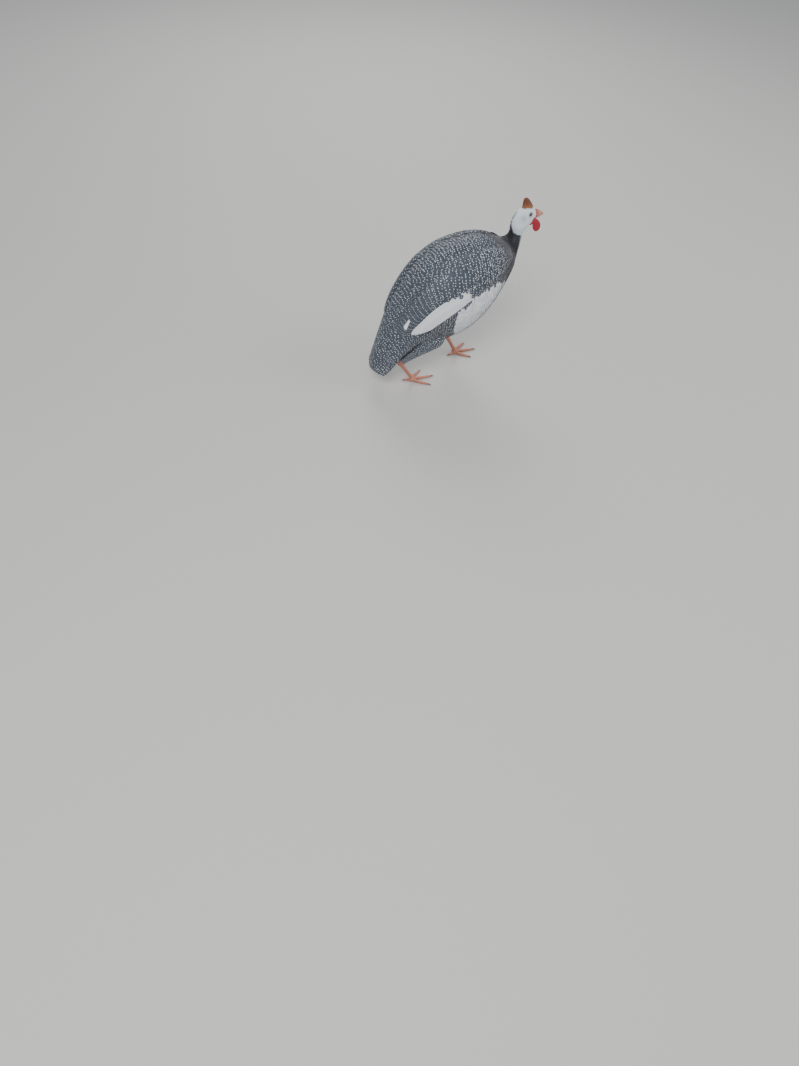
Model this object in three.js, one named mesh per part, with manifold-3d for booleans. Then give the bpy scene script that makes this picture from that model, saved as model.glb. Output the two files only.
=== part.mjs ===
// A life-size still model of a helmeted guinea fowl, a pearl hen with a white breast and white
// primaries, walking with its neck drawn in. Millimetres, +X is the way it walks, +Y its left,
// +Z up. The floor is z = 0, and the origin lies on it under the middle of the model's box.
import * as THREE from "three";
import { mergeVertices } from "three/addons/utils/BufferGeometryUtils.js";
import Module from "manifold-3d";

const wasm = await Module();
wasm.setup();
const { degToRad, lerp, smoothstep } = THREE.MathUtils;

// Driving dimensions
const GAP = 0.3; // left between two pieces that touch
const PLACE = new THREE.Vector3(-10.4, 0, 0); // puts the middle of the model's box over the origin
const SIDES = { left: 1, right: -1 };

// The body from tail tip to the top of the neck, as slanting sections. back and belly are [x, z]
// on the midline, half is the half width, and sag lowers the flanks by a share of the half depth.
const BODY = [
  { at: "tail tip", back: [-200, 49], belly: [-192, 46], half: 27, sag: 1.6 },
  { at: "tail end", back: [-199, 62], belly: [-181, 52], half: 42, sag: 1.3 },
  { at: "tail middle", back: [-189, 97], belly: [-157, 73], half: 49, sag: 0.7 },
  { at: "tail root", back: [-176, 134], belly: [-132, 91], half: 54, sag: 0.3 },
  { at: "tail coverts", back: [-163, 170], belly: [-108, 103], half: 60, sag: 0.1 },
  { at: "rump", back: [-147, 208], belly: [-90, 110], half: 66 },
  { at: "loin", back: [-121, 253], belly: [-70, 111], half: 74 },
  { at: "hind back", back: [-85, 300], belly: [-45, 111], half: 81 },
  { at: "middle back", back: [-39, 334], belly: [-11, 111], half: 86 },
  { at: "mantle", back: [9, 350], belly: [26, 120], half: 86 },
  { at: "shoulders", back: [54, 353], belly: [61, 143], half: 80 },
  { at: "breast", back: [90, 346], belly: [94, 182], half: 69 },
  { at: "upper breast", back: [115, 337], belly: [120, 225], half: 56 },
  { at: "neck base", back: [129, 333], belly: [142, 264], half: 43 },
  { at: "lower neck", back: [135.5, 334.5], belly: [156, 298], half: 31 },
  { at: "middle neck", back: [138.5, 341], belly: [165, 323], half: 22 },
  { at: "neck top", back: [139, 352], belly: [169.5, 342], half: 17 },
];
const HEAD = [
  { at: "throat", back: [139.2, 352.3], belly: [169.7, 342.3], half: 16.8 },
  { at: "nape", back: [137.5, 362], belly: [174.5, 350], half: 16.2 },
  { at: "hind crown", back: [138, 375], belly: [179, 354.5], half: 15.6 },
  { at: "ear", back: [142, 387.5], belly: [182.5, 358], half: 15 },
  { at: "hind cheek", back: [150, 398], belly: [186, 361], half: 14.6 },
  { at: "cheek", back: [160.5, 403.5], belly: [189, 364], half: 13.8 },
  { at: "eye", back: [172, 405.5], belly: [192, 367], half: 12.5 },
  { at: "brow", back: [182, 404], belly: [194.5, 369.5], half: 10.5 },
  { at: "forehead", back: [190, 400], belly: [196.5, 371.5], half: 8.5 },
  { at: "bill root", back: [196.5, 394], belly: [198.5, 373], half: 6.5 },
];
const BILL_UPPER = [
  { at: "root", back: [195, 395.5], belly: [195, 381], half: 6.6, sag: 0.55 },
  { at: "nostril", back: [201, 394.5], belly: [201, 381.2], half: 5.9, sag: 0.6 },
  { at: "middle", back: [208, 391.5], belly: [208, 381.2], half: 4.7, sag: 0.6 },
  { at: "hook", back: [214, 387.5], belly: [213.8, 380.4], half: 3.4, sag: 0.5 },
  { at: "bend", back: [219, 382.8], belly: [217.6, 378.8], half: 1.9, sag: 0.2 },
  { at: "tip", back: [220.8, 378.6], belly: [219.8, 377.4], half: 0.7 },
];
const BILL_LOWER = [
  { at: "root", back: [195, 380.5], belly: [195, 373], half: 5.9, sag: -0.55 },
  { at: "gape", back: [201, 380.6], belly: [201.5, 373.6], half: 5.2, sag: -0.6 },
  { at: "middle", back: [207.5, 380.6], belly: [208.5, 375.2], half: 4, sag: -0.6 },
  { at: "tip", back: [214.5, 379.4], belly: [214.8, 377.2], half: 1.8, sag: -0.3 },
];
// Casque: heights along it, with front and rear edges [x, z] and half widths
const CASQUE = [
  { at: "foot", back: [158.5, 398], belly: [192, 395], half: 8.8 },
  { at: "waist", back: [160, 407], belly: [187.5, 405.5], half: 7.6 },
  { at: "flank", back: [160.3, 414.5], belly: [182.5, 413], half: 6.6 },
  { at: "crest", back: [160.8, 421], belly: [177, 420], half: 5.4 },
  { at: "brow", back: [162.5, 425], belly: [172.5, 424.6], half: 3.9 },
  { at: "top", back: [165.5, 426.6], belly: [168.5, 426.5], half: 1.3 },
];
const EYE = { at: [178.5, 9.5, 390], radius: 4.7 };
// Rows for sweeps are [x, y, z, half width, half height]
const WATTLE = [
  [190.5, 8, 377.5, 1.3, 3],
  [193, 9.6, 373.5, 1.8, 6],
  [196.5, 11.4, 367, 2.1, 9.2],
  [199, 13, 359.5, 2.2, 10.4],
  [200, 14, 353.3, 2, 8.4],
  [200.3, 14.5, 349.6, 1.3, 4.6],
  [200.4, 14.6, 348.5, 0.7, 1.6],
];

const stationOf = (name) => BODY.findIndex((section) => section.at === name);
const TAIL_CUT = stationOf("tail root") + 0.5;
const RUMP_CUT = stationOf("rump") + 0.5;
const NECK_CUT = stationOf("neck base") + 0.5;
const NECK_TOP = stationOf("neck top");

// White lower breast: what lies in front of and below this outline, as [x, z] from the side
const BREAST_PATCH = [[170, 268], [112, 282], [74, 280], [50, 262], [28, 246], [-14, 240],
  [-17, 204], [-8, 150], [0, 90]];

// Folded wings, as panels on the body's flank. front and rear are the stations of the upper and
// the lower edge there, and upper and lower are angles from the back, which may change along it.
const foldAt = (s) => 68 - 14 * smoothstep(s, 9.4, 13.1); // over the primaries and the wrist
const lowAt = (s) => {
  return 96 - 16 * smoothstep(s, 6.8, 9.2) - 6 * smoothstep(s, 9.2, 10.4)
    - 6 * smoothstep(s, 10.4, 13);
};
const WING_FRONT = 13.1;
const PANELS = [
  {
    name: "coverts",
    front: [WING_FRONT - 0.5, WING_FRONT],
    rear: [7.2, 8.2],
    upper: (s) => 27 + 20 * smoothstep(s, 10.4, WING_FRONT + 0.3),
    lower: foldAt,
    thick: 11,
    white: false,
  },
  {
    name: "secondaries",
    front: [7.16, 8.16],
    rear: [4.2, 4.6],
    upper: (s) => 27 + 10 * smoothstep(-s, -5.2, -4.1),
    lower: foldAt,
    thick: 8,
    white: false,
  },
  {
    name: "wrist",
    front: [WING_FRONT - 0.02, WING_FRONT - 0.6],
    rear: [8.8, 9.15],
    upper: (s) => foldAt(s) + 0.4,
    lower: lowAt,
    thick: 9,
    white: false,
  },
  {
    name: "primaries",
    front: [8.76, 9.11],
    rear: [5.0, 5.5],
    upper: (s) => foldAt(s) + 0.4 + 4 * smoothstep(-s, -6.2, -5),
    lower: (s) => lowAt(s) - 9 * smoothstep(-s, -7.6, -5.1),
    thick: 6,
    white: true,
  },
];
const RIM = 1.4; // a panel's thickness at its edge

// Legs: the drumstick runs from knee to hock, the shank from hock to the ball of the foot.
// heading is the middle toe's angle from +X.
const LEGS = {
  left: { knee: [54, 46, 165], hock: [20, 31, 70], ball: [56, 41, 6.5], heading: -4 },
  right: { knee: [-38, -45, 148], hock: [-133, -29, 67], ball: [-95, -26, 6.5], heading: -2 },
};
// Rows are [share of the way, half width, half depth]
const DRUMSTICK = [[-0.1, 13, 16], [0.15, 26, 29], [0.4, 22, 24], [0.62, 15.5, 17],
  [0.8, 10.8, 12.2], [0.95, 8.3, 9.2]];
const SHANK = [[-0.14, 2, 2.2], [-0.12, 4.3, 4.8], [-0.07, 6, 6.6], [0.01, 6.9, 7.7],
  [0.13, 5.1, 5.9], [0.42, 3.9, 4.6], [0.8, 4.4, 4.9], [0.95, 6, 5.4],
  [1, 6.4, 5]];
const PAD = [9.6, 9, 6.8]; // half sizes of the sole's pad, under the ball of the foot
const TOES = {
  middle: { turn: 0, side: 0, length: 49, width: 3.7, claw: 9 },
  inner: { turn: -36, side: -5.5, length: 35, width: 3.5, claw: 8 },
  outer: { turn: 34, side: 5.5, length: 39, width: 3.4, claw: 8 },
  hind: { turn: -168, side: -2, length: 20, width: 3, claw: 5 },
};
// Rows are [share of the toe, height of its middle, half width as a share, half height]
const TOE = [[0.08, 5.6, 1.05, 4.6], [0.3, 4.4, 1, 4.2], [0.55, 3.1, 1, 3.6], [0.8, 2.7, 0.92, 3.2],
  [1, 2.5, 0.7, 2.6]];
const CLAW = [[0, 2.6, 2, 2.2], [0.35, 2.6, 1.6, 1.9], [0.7, 1.9, 1.1, 1.3], [1, 1.1, 0.5, 0.6]];

// Smooth curve through rows of three numbers, read by a station that counts the rows
function curveThrough(rows) {
  const points = rows.map((row) => new THREE.Vector3(...row));
  return new THREE.CatmullRomCurve3(points, false, "catmullrom");
}

// A shape between a back line and a belly line, with elliptical sections across them
class Loft {
  constructor(sections) {
    this.last = sections.length - 1;
    this.back = curveThrough(sections.map(({ back: [x, z] }) => [x, 0, z]));
    this.belly = curveThrough(sections.map(({ belly: [x, z] }) => [x, 0, z]));
    this.girth = curveThrough(sections.map(({ half, sag = 0 }) => [half, sag, 0]));
  }

  // turn is the angle from the back, 90 degrees at the flank; side is 1 on the left
  point(station, turn, side = 1) {
    const t = THREE.MathUtils.clamp(station / this.last, 0, 1);
    const back = this.back.getPoint(t);
    const belly = this.belly.getPoint(t);
    const { x: half, y: sag } = this.girth.getPoint(t);
    const across = Math.sin(degToRad(turn));
    const up = Math.cos(degToRad(turn)) - sag * across * across;
    const middle = back.clone().add(belly).multiplyScalar(0.5);
    middle.add(back.sub(belly).multiplyScalar(0.5 * up));
    return middle.setY(side * half * across);
  }

  normal(station, turn, side = 1) {
    const ahead = this.point(station + 0.02, turn, side);
    const along = ahead.sub(this.point(station - 0.02, turn, side));
    const round = this.point(station, turn + 1, side).sub(this.point(station, turn - 1, side));
    return round.cross(along).normalize().multiplyScalar(-side);
  }

  lifted(station, turn, side, lift) {
    const normal = this.normal(station, turn, side);
    return this.point(station, turn, side).add(normal.multiplyScalar(lift));
  }

  solid(stations, sides, grow = 0) {
    const rings = stations.map((station) => {
      return Array.from({ length: sides }, (_, j) => {
        return this.lifted(station, (360 * j) / sides, 1, grow);
      });
    });
    return solidOf(closeRings(rings));
  }

  whole(count, sides, grow = 0) {
    return this.solid(spread(0, this.last, count), sides, grow);
  }
}

function spread(from, to, count) {
  return Array.from({ length: count + 1 }, (_, i) => lerp(from, to, i / count));
}

// Closed shape through rings of points, all with the same number of points
function closeRings(rings) {
  const count = rings[0].length;
  const middleOf = (ring) => {
    const sum = ring.reduce((total, point) => total.add(point), new THREE.Vector3());
    return sum.multiplyScalar(1 / count);
  };
  const points = [...rings.flat(), middleOf(rings[0]), middleOf(rings.at(-1))];
  const firstMiddle = rings.length * count;
  const lastRing = firstMiddle - count;
  const faces = [];
  for (let j = 0; j < count; j++) {
    const next = (j + 1) % count;
    for (let here = 0; here < lastRing; here += count) {
      const there = here + count;
      faces.push([here + j, here + next, there + next], [here + j, there + next, there + j]);
    }
    faces.push([firstMiddle, next, j], [firstMiddle + 1, lastRing + j, lastRing + next]);
  }
  return faceOutwards(points, faces);
}

function faceOutwards(points, faces) {
  const volume = faces.reduce((sum, [a, b, c]) => {
    return sum + points[a].dot(points[b].clone().cross(points[c]));
  }, 0);
  const index = faces.flatMap(([a, b, c]) => (volume < 0 ? [a, c, b] : [a, b, c]));
  return new THREE.BufferGeometry().setFromPoints(points).setIndex(index);
}

// Elliptical rings around a line; ref is the way the half height is measured
function sweep(rows, ref, sides = 12, grow = 0) {
  const places = rows.map(([x, y, z]) => new THREE.Vector3(x, y, z));
  const rings = rows.map(([, , , width, height], i) => {
    const before = places[Math.max(i - 1, 0)];
    const tangent = places[Math.min(i + 1, rows.length - 1)].clone().sub(before).normalize();
    const across = new THREE.Vector3().crossVectors(ref, tangent).normalize();
    const up = new THREE.Vector3().crossVectors(tangent, across);
    return Array.from({ length: sides }, (_, j) => {
      const angle = (2 * Math.PI * j) / sides;
      return places[i].clone()
        .addScaledVector(across, (width + grow) * Math.cos(angle))
        .addScaledVector(up, (height + grow) * Math.sin(angle));
    });
  });
  return solidOf(closeRings(rings));
}

function ball(radii, place, rings = 8) {
  const geometry = new THREE.SphereGeometry(1, rings * 2, rings);
  return solidOf(geometry.rotateX(Math.PI / 2).scale(...radii).translate(...place));
}

function solidOf(geometry) {
  const plain = geometry.clone();
  plain.deleteAttribute("normal");
  plain.deleteAttribute("uv");
  const merged = mergeVertices(plain, 1e-4);
  const shape = {
    numProp: 3,
    vertProperties: new Float32Array(merged.attributes.position.array),
    triVerts: new Uint32Array(merged.index.array),
  };
  return new wasm.Manifold(new wasm.Mesh(shape));
}

const group = new THREE.Group();
group.position.copy(PLACE);

function addPiece(name, solid, material) {
  const mesh = solid.getMesh();
  const geometry = new THREE.BufferGeometry();
  const places = new Float32Array(mesh.vertProperties);
  geometry.setAttribute("position", new THREE.BufferAttribute(places, mesh.numProp));
  geometry.setIndex(new THREE.BufferAttribute(new Uint32Array(mesh.triVerts), 1));
  geometry.computeVertexNormals();
  const piece = new THREE.Mesh(geometry, material);
  piece.name = name;
  group.add(piece);
}

// Finishes
const finish = (color, roughness) => {
  return new THREE.MeshStandardMaterial({ color, roughness, metalness: 0 });
};
const slateFeather = finish(0x525b66, 0.8);
const whiteFeather = finish(0xd8dee3, 0.8);
const faceSkin = finish(0xd3dae0, 0.55);
const wattleSkin = finish(0xb0202c, 0.45);
const casqueHorn = finish(0x8f5f3c, 0.6);
const billHorn = finish(0xc7998a, 0.4);
const legScale = finish(0xc98873, 0.5);
const clawHorn = finish(0x6b5c54, 0.4);
const eyeball = finish(0x1d120c, 0.1);

// Body: one run of rings, cut into tail, rump, trunk and neck
const body = new Loft(BODY);
const BODY_SIDES = 28;
const CUT = 0.006; // half the width of a cut across the body, in stations
const CUTS = [TAIL_CUT, RUMP_CUT, NECK_CUT];
const stations = spread(0, NECK_TOP, 2 * NECK_TOP)
  .filter((s) => (Math.abs(s - 9) < 5 || Number.isInteger(s)) && !CUTS.includes(s))
  .concat(CUTS.flatMap((cut) => [cut - CUT, cut + CUT]))
  .sort((a, b) => a - b);
function bodyBetween(from, to) {
  return body.solid(stations.filter((s) => s > from && s < to), BODY_SIDES);
}
const around = body.solid(stations, BODY_SIDES, GAP);
addPiece("tail", bodyBetween(-1, TAIL_CUT), slateFeather);
addPiece("rump", bodyBetween(TAIL_CUT, RUMP_CUT), slateFeather);
addPiece("neck", bodyBetween(NECK_CUT, NECK_TOP + 1), slateFeather);

function patchSolid(grow) {
  const shape = new THREE.Shape();
  BREAST_PATCH.forEach(([x, z], i) => shape[i ? "lineTo" : "moveTo"](x - grow, z + grow));
  shape.lineTo(260, 60);
  const width = 240;
  const slab = new THREE.ExtrudeGeometry(shape, { depth: width, bevelEnabled: false });
  return solidOf(slab.rotateX(Math.PI / 2).translate(0, width / 2, 0));
}
const trunk = bodyBetween(RUMP_CUT, NECK_CUT);
addPiece("trunk", trunk.subtract(patchSolid(GAP)), slateFeather);
addPiece("breast", trunk.intersect(patchSolid(0)), whiteFeather);

// Wings
function wingPanel(panel, side) {
  const along = 10;
  const across = 5;
  const round = (share) => 1 - Math.abs(2 * share - 1) ** 5;
  const layer = (liftAt) => {
    return spread(0, 1, along).flatMap((p) => {
      return spread(0, 1, across).map((q) => {
        const station = lerp(lerp(...panel.front, q), lerp(...panel.rear, q), p);
        const turn = lerp(panel.upper(station), panel.lower(station), q);
        return body.lifted(station, turn, side, liftAt(p, q));
      });
    });
  };
  const outer = layer((p, q) => GAP + lerp(RIM, panel.thick, round(p) * round(q)));
  const inner = layer(() => -3);
  return solidOf(closeSheet(outer, inner, along, across)).subtract(around);
}

// Closed shape between two grids of points
function closeSheet(outer, inner, along, across) {
  const size = outer.length;
  const at = (i, j) => i * (across + 1) + j;
  const faces = [];
  const square = (a, b, c, d) => faces.push([a, b, c], [a, c, d]);
  const wall = (a, b) => square(b, a, a + size, b + size);
  for (let i = 0; i < along; i++) {
    for (let j = 0; j < across; j++) {
      const corners = [at(i, j), at(i + 1, j), at(i + 1, j + 1), at(i, j + 1)];
      square(...corners);
      square(...corners.reverse().map((corner) => corner + size));
    }
    wall(at(i, 0), at(i + 1, 0));
    wall(at(i + 1, across), at(i, across));
  }
  for (let j = 0; j < across; j++) {
    wall(at(0, j + 1), at(0, j));
    wall(at(along, j), at(along, j + 1));
  }
  return faceOutwards([...outer, ...inner], faces);
}

for (const [name, side] of Object.entries(SIDES)) {
  for (const panel of PANELS) {
    const material = panel.white ? whiteFeather : slateFeather;
    addPiece(`wing_${name}_${panel.name}`, wingPanel(panel, side), material);
  }
}

// Head
const head = new Loft(HEAD);
const aroundHead = head.whole(12, 20, GAP);
const eyeAt = (side) => [EYE.at[0], side * EYE.at[1], EYE.at[2]];
const sockets = Object.values(SIDES).map((side) => {
  return ball(Array(3).fill(EYE.radius + GAP), eyeAt(side), 6);
});
const skull = sockets.reduce((left, socket) => left.subtract(socket), head.whole(12, 20));
addPiece("head", skull, faceSkin);
const casque = new Loft(CASQUE).whole(6, 14);
addPiece("casque", casque.subtract(aroundHead), casqueHorn);
const billUpper = new Loft(BILL_UPPER).whole(7, 12).subtract(aroundHead);
addPiece("bill_upper", billUpper, billHorn);
addPiece("bill_lower", new Loft(BILL_LOWER).whole(4, 10).subtract(aroundHead), billHorn);
const AHEAD = new THREE.Vector3(1, 0, 0);
const UP = new THREE.Vector3(0, 0, 1);
for (const [name, side] of Object.entries(SIDES)) {
  addPiece(`eye_${name}`, ball(Array(3).fill(EYE.radius), eyeAt(side), 6), eyeball);
  const rows = WATTLE.map(([x, y, ...rest]) => [x, side * y, ...rest]);
  addPiece(`wattle_${name}`, sweep(rows, AHEAD, 10).subtract(aroundHead), wattleSkin);
}

// Legs and feet
const floor = (top) => {
  const block = new THREE.BoxGeometry(500, 500, 40).translate(0, 0, top - 20);
  return solidOf(block);
};
const between = (from, to, share) => from.map((start, i) => lerp(start, to[i], share));

for (const [name, side] of Object.entries(SIDES)) {
  const leg = LEGS[name];
  const rowsOn = (from, to, table) => {
    return table.map(([share, ...sizes]) => [...between(from, to, share), ...sizes]);
  };
  const drumstick = sweep(rowsOn(leg.knee, leg.hock, DRUMSTICK), AHEAD, 12);
  const shankAndPad = (grow) => {
    const pad = PAD.map((half) => half + grow);
    return sweep(rowsOn(leg.hock, leg.ball, SHANK), AHEAD, 10, grow).add(ball(pad, leg.ball, 5));
  };
  addPiece(`shank_${name}`, shankAndPad(0).subtract(floor(0)), legScale);
  const aroundShank = shankAndPad(GAP);
  addPiece(`thigh_${name}`, drumstick.subtract(around).subtract(aroundShank), slateFeather);

  // A toe's or a claw's rows, start millimetres from the ball of the foot
  const footRows = (toe, table, start, length) => {
    const heading = degToRad(leg.heading + side * toe.turn);
    const middle = degToRad(leg.heading);
    return table.map(([share, height, width, half]) => {
      const reach = start + share * length;
      const x = leg.ball[0] + reach * Math.cos(heading) - side * toe.side * Math.sin(middle);
      const y = leg.ball[1] + reach * Math.sin(heading) + side * toe.side * Math.cos(middle);
      return [x, y, height, width, half];
    });
  };
  let aroundMiddle = null;
  for (const [toeName, toe] of Object.entries(TOES)) {
    const table = TOE.map(([share, height, width, half]) => {
      return [share, height, width * toe.width, half];
    });
    const rows = footRows(toe, table, 0, toe.length);
    let solid = sweep(rows, UP, 8).subtract(aroundShank).subtract(floor(0));
    if (aroundMiddle) {
      solid = solid.subtract(aroundMiddle);
    } else {
      aroundMiddle = sweep(rows, UP, 8, GAP);
    }
    addPiece(`foot_${name}_${toeName}_toe`, solid, legScale);
    const claw = footRows(toe, CLAW, toe.length + GAP, toe.claw);
    addPiece(`claw_${name}_${toeName}`, sweep(claw, UP, 6).subtract(floor(GAP)), clawHorn);
  }
}

export default group;
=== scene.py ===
"""A life-size still model of a helmeted guinea fowl, a pearl hen with white breast and primaries.

The shapes are numpy surfaces in millimetres, +X the way the bird walks, +Y its left, +Z up, and
are written to the meshes in metres, in the CAD model's frame. One skin lies under a coat of vanes.
"""

import logging
from collections.abc import Callable
from dataclasses import dataclass, field
from enum import Enum

import bpy
import numpy as np
from mathutils import Matrix, kdtree

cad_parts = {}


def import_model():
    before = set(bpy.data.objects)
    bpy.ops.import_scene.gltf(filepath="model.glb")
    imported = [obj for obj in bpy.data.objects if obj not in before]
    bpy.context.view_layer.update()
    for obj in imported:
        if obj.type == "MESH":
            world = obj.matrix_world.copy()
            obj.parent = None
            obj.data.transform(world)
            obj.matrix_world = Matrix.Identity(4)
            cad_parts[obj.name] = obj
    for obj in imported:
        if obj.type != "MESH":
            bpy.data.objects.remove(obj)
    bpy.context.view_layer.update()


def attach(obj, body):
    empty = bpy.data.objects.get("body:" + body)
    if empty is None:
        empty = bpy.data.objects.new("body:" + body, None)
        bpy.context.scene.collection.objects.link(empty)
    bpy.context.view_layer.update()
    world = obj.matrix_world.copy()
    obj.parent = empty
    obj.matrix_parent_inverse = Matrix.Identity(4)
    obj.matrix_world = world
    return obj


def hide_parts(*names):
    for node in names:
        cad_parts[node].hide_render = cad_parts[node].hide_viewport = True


LOG = logging.getLogger("guinea_fowl")
Array = np.ndarray
PLACE = np.array([-10.4, 0.0, 0.0])  # mm, puts the middle of the box over the origin
BIRD_MIDDLE = 0.22  # m over the floor, where the lights are aimed
UNWRAP_MARGIN = 0.03  # left free on each side of the flat unwrap
TUFT_REACH = 0.0015  # half the side of a vane's patch on the unwrap
GIRTH_SAMPLES = 36  # places round a surface where its girth is read
SCATTER = 0.18  # of a root's place, as a share of its distance to the next
ROW_SHARE = 0.8  # of the distance between roots, from row to row
PEARL_SIDES = 6
PEARL_LIFT = 0.16  # mm over its vane
SIDES = {"left": 1.0, "right": -1.0}
RNG = np.random.default_rng(7)

# Sections: back x, z, belly x, z, half width, sag, depth of the coat over the skin
BODY = np.array([
    [-200, 49, -192, 46, 27, 1.6, 2],
    [-199, 62, -181, 52, 42, 1.3, 3],
    [-189, 97, -157, 73, 49, 0.7, 4],
    [-176, 134, -132, 91, 54, 0.3, 6],
    [-163, 170, -108, 103, 60, 0.1, 8],
    [-147, 208, -90, 110, 66, 0, 9],
    [-121, 253, -70, 111, 74, 0, 9],
    [-85, 300, -45, 111, 81, 0, 9],
    [-39, 334, -11, 111, 86, 0, 9],
    [9, 350, 26, 120, 86, 0, 9],
    [54, 353, 61, 143, 80, 0, 9],
    [90, 346, 94, 182, 69, 0, 8],
    [115, 337, 120, 225, 56, 0, 7],
    [129, 333, 142, 264, 43, 0, 5],
    [135.5, 334.5, 156, 298, 31, 0, 3.5],
    [138.5, 341, 165, 323, 22, 0, 2.5],
    [139, 352, 169.5, 342, 17, 0, 1.2],
])
HEAD = np.array([
    [139, 346, 168.5, 336, 17, 0, 1.2],
    [139.2, 352.3, 169.7, 342.3, 16.8, 0, 1],
    [137.5, 362, 174.5, 350, 16.2, 0, 0.7],
    [138, 375, 179, 354.5, 15.6, 0, 0.4],
    [142, 387.5, 182.5, 358, 15, 0, 0.2],
    [150, 398, 186, 361, 14.6, 0, 0.2],
    [160.5, 403.5, 189, 364, 13.8, 0, 0.2],
    [172, 405.5, 192, 367, 12.5, 0, 0.2],
    [182, 404, 194.5, 369.5, 10.5, 0, 0.2],
    [190, 400, 196.5, 371.5, 8.5, 0, 0.2],
    [196.5, 394, 198.5, 373, 6.5, 0, 0.2],
])
BILL_UPPER = np.array([
    [193, 395.8, 193, 381, 6.8, 0.55, 0],
    [197, 395.3, 197, 381.1, 6.4, 0.6, 0],
    [201, 394.5, 201, 381.2, 5.9, 0.6, 0],
    [208, 391.5, 208, 381.2, 4.7, 0.6, 0],
    [214, 387.5, 213.8, 380.4, 3.4, 0.5, 0],
    [219, 382.8, 217.6, 378.8, 1.9, 0.2, 0],
    [220.8, 378.6, 219.8, 377.4, 0.7, 0, 0],
])
BILL_LOWER = np.array([
    [193, 380.5, 193, 372.8, 6, -0.55, 0],
    [201, 380.6, 201.5, 373.6, 5.2, -0.6, 0],
    [207.5, 380.6, 208.5, 375.2, 4, -0.6, 0],
    [214.5, 379.4, 214.8, 377.2, 1.8, -0.3, 0],
])
CASQUE = np.array([
    [158.5, 398, 192, 395, 8.8, 0, 0],
    [160, 407, 187.5, 405.5, 7.6, 0, 0],
    [160.3, 414.5, 182.5, 413, 6.6, 0, 0],
    [160.8, 421, 177, 420, 5.4, 0, 0],
    [162.5, 425, 172.5, 424.6, 3.9, 0, 0],
    [165.5, 426.6, 168.5, 426.5, 1.3, 0, 0],
])
EYE_AT = np.array([178.5, 9.6, 390.0])
EYE_RADIUS = 4.7
# Rows of limbs: x, y, z, half width, half height
WATTLE = np.array([
    [190.5, 8, 377.5, 1.3, 3],
    [193, 9.6, 373.5, 1.8, 6],
    [196.5, 11.4, 367, 2.1, 9.2],
    [199, 13, 359.5, 2.2, 10.4],
    [200, 14, 353.3, 2, 8.4],
    [200.3, 14.5, 349.6, 1.3, 4.6],
    [200.4, 14.6, 348.5, 0.7, 1.6],
])
LEGS = {
    "left": {"knee": (54, 46, 165), "hock": (20, 31, 70), "ball": (56, 41, 6.5), "heading": -4},
    "right": {"knee": (-38, -45, 148), "hock": (-133, -29, 67), "ball": (-95, -26, 6.5),
              "heading": -2},
}
# Share of the way, half width, half depth
DRUMSTICK = np.array([[-0.1, 13, 16], [0.15, 26, 29], [0.4, 22, 24], [0.62, 15.5, 17],
                      [0.8, 10.8, 12.2], [0.95, 8.3, 9.2]])
SHANK = np.array([[-0.14, 2, 2.2], [-0.12, 4.2, 4.7], [-0.07, 5.9, 6.5], [0.01, 6.8, 7.6],
                  [0.13, 5, 5.8], [0.42, 3.8, 4.5], [0.8, 4.3, 4.8], [0.95, 5.9, 5.3],
                  [1, 6.3, 4.9]])
PAD = np.array([9.5, 8.9, 6.7])
# Turn from the heading, shift sideways, length, half width, claw length
TOES = {
    "middle": (0, 0, 49, 3.6, 9),
    "inner": (-36, -5.5, 35, 3.4, 8),
    "outer": (34, 5.5, 39, 3.3, 8),
    "hind": (-168, -2, 20, 2.9, 5),
}
# Share of the toe, height of its middle, share of the half width, half height
TOE = np.array([[0.08, 5.6, 1.05, 4.5], [0.3, 4.4, 1, 4.1], [0.55, 3.1, 1, 3.5],
                [0.8, 2.7, 0.92, 3.1], [1, 2.5, 0.7, 2.5]])
CLAW = np.array([[-0.2, 2.6, 1.9, 2.1], [0, 2.6, 1.9, 2.1], [0.35, 2.6, 1.5, 1.8],
                 [0.7, 1.9, 1.0, 1.2], [1, 1.1, 0.4, 0.5]])
# Outline of the white breast on the midline plane, x and z
BREAST_PATCH = np.array([[170, 256], [114, 276], [78, 276], [54, 260], [34, 244], [8, 236],
                         [4, 204], [12, 150], [22, 90], [260, 60]])
WING_FRONT, WING_REAR = 13.1, 4.25  # sections of the body where the folded wing ends
WING_HEIGHT, WING_THINNING = 10, 4  # mm over the flank, and less by that below
WING_TOP = 27.0  # turn from the back of its upper edge, in degrees


def srgb(code: str) -> Array:
    """Turns a hex colour into linear red, green and blue.

    Args:
        code: six hex digits.

    Returns:
        Three linear values.
    """
    values = np.array([int(code[i:i + 2], 16) for i in (0, 2, 4)]) / 255
    return np.where(values <= 0.04045, values / 12.92, ((values + 0.055) / 1.055) ** 2.4)


SLATE = srgb("434a55")  # plumage of back, wings and flanks
MAUVE = srgb("4b4950")  # plain collar and upper breast
NAPE = srgb("22232a")  # hair-like nape feathers
WHITE = srgb("e2e6ea")  # white feathers and pearls
FACE = srgb("dbe2e8")  # bare face
FACE_BLUE = srgb("a9bccb")  # bare skin round the ear and down the throat
RED = srgb("9c1a28")  # wattles and gape
LEG = srgb("c4806a")  # scaly legs
LEG_DARK = srgb("8d5a4c")  # between the scutes
BILL = srgb("c48a78")
BILL_ROOT = srgb("b0483c")
CASQUE_BROWN = srgb("6b3b26")
CASQUE_PALE = srgb("9a6440")
CLAW_BROWN = srgb("5d4f48")


def smooth(x: Array, low: float, high: float) -> Array:
    """Cubic step from 0 at low to 1 at high, t = clip((x - low) / (high - low)), t² (3 - 2 t)."""
    t = np.clip((np.asarray(x, float) - low) / (high - low), 0, 1)
    return t * t * (3 - 2 * t)


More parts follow.
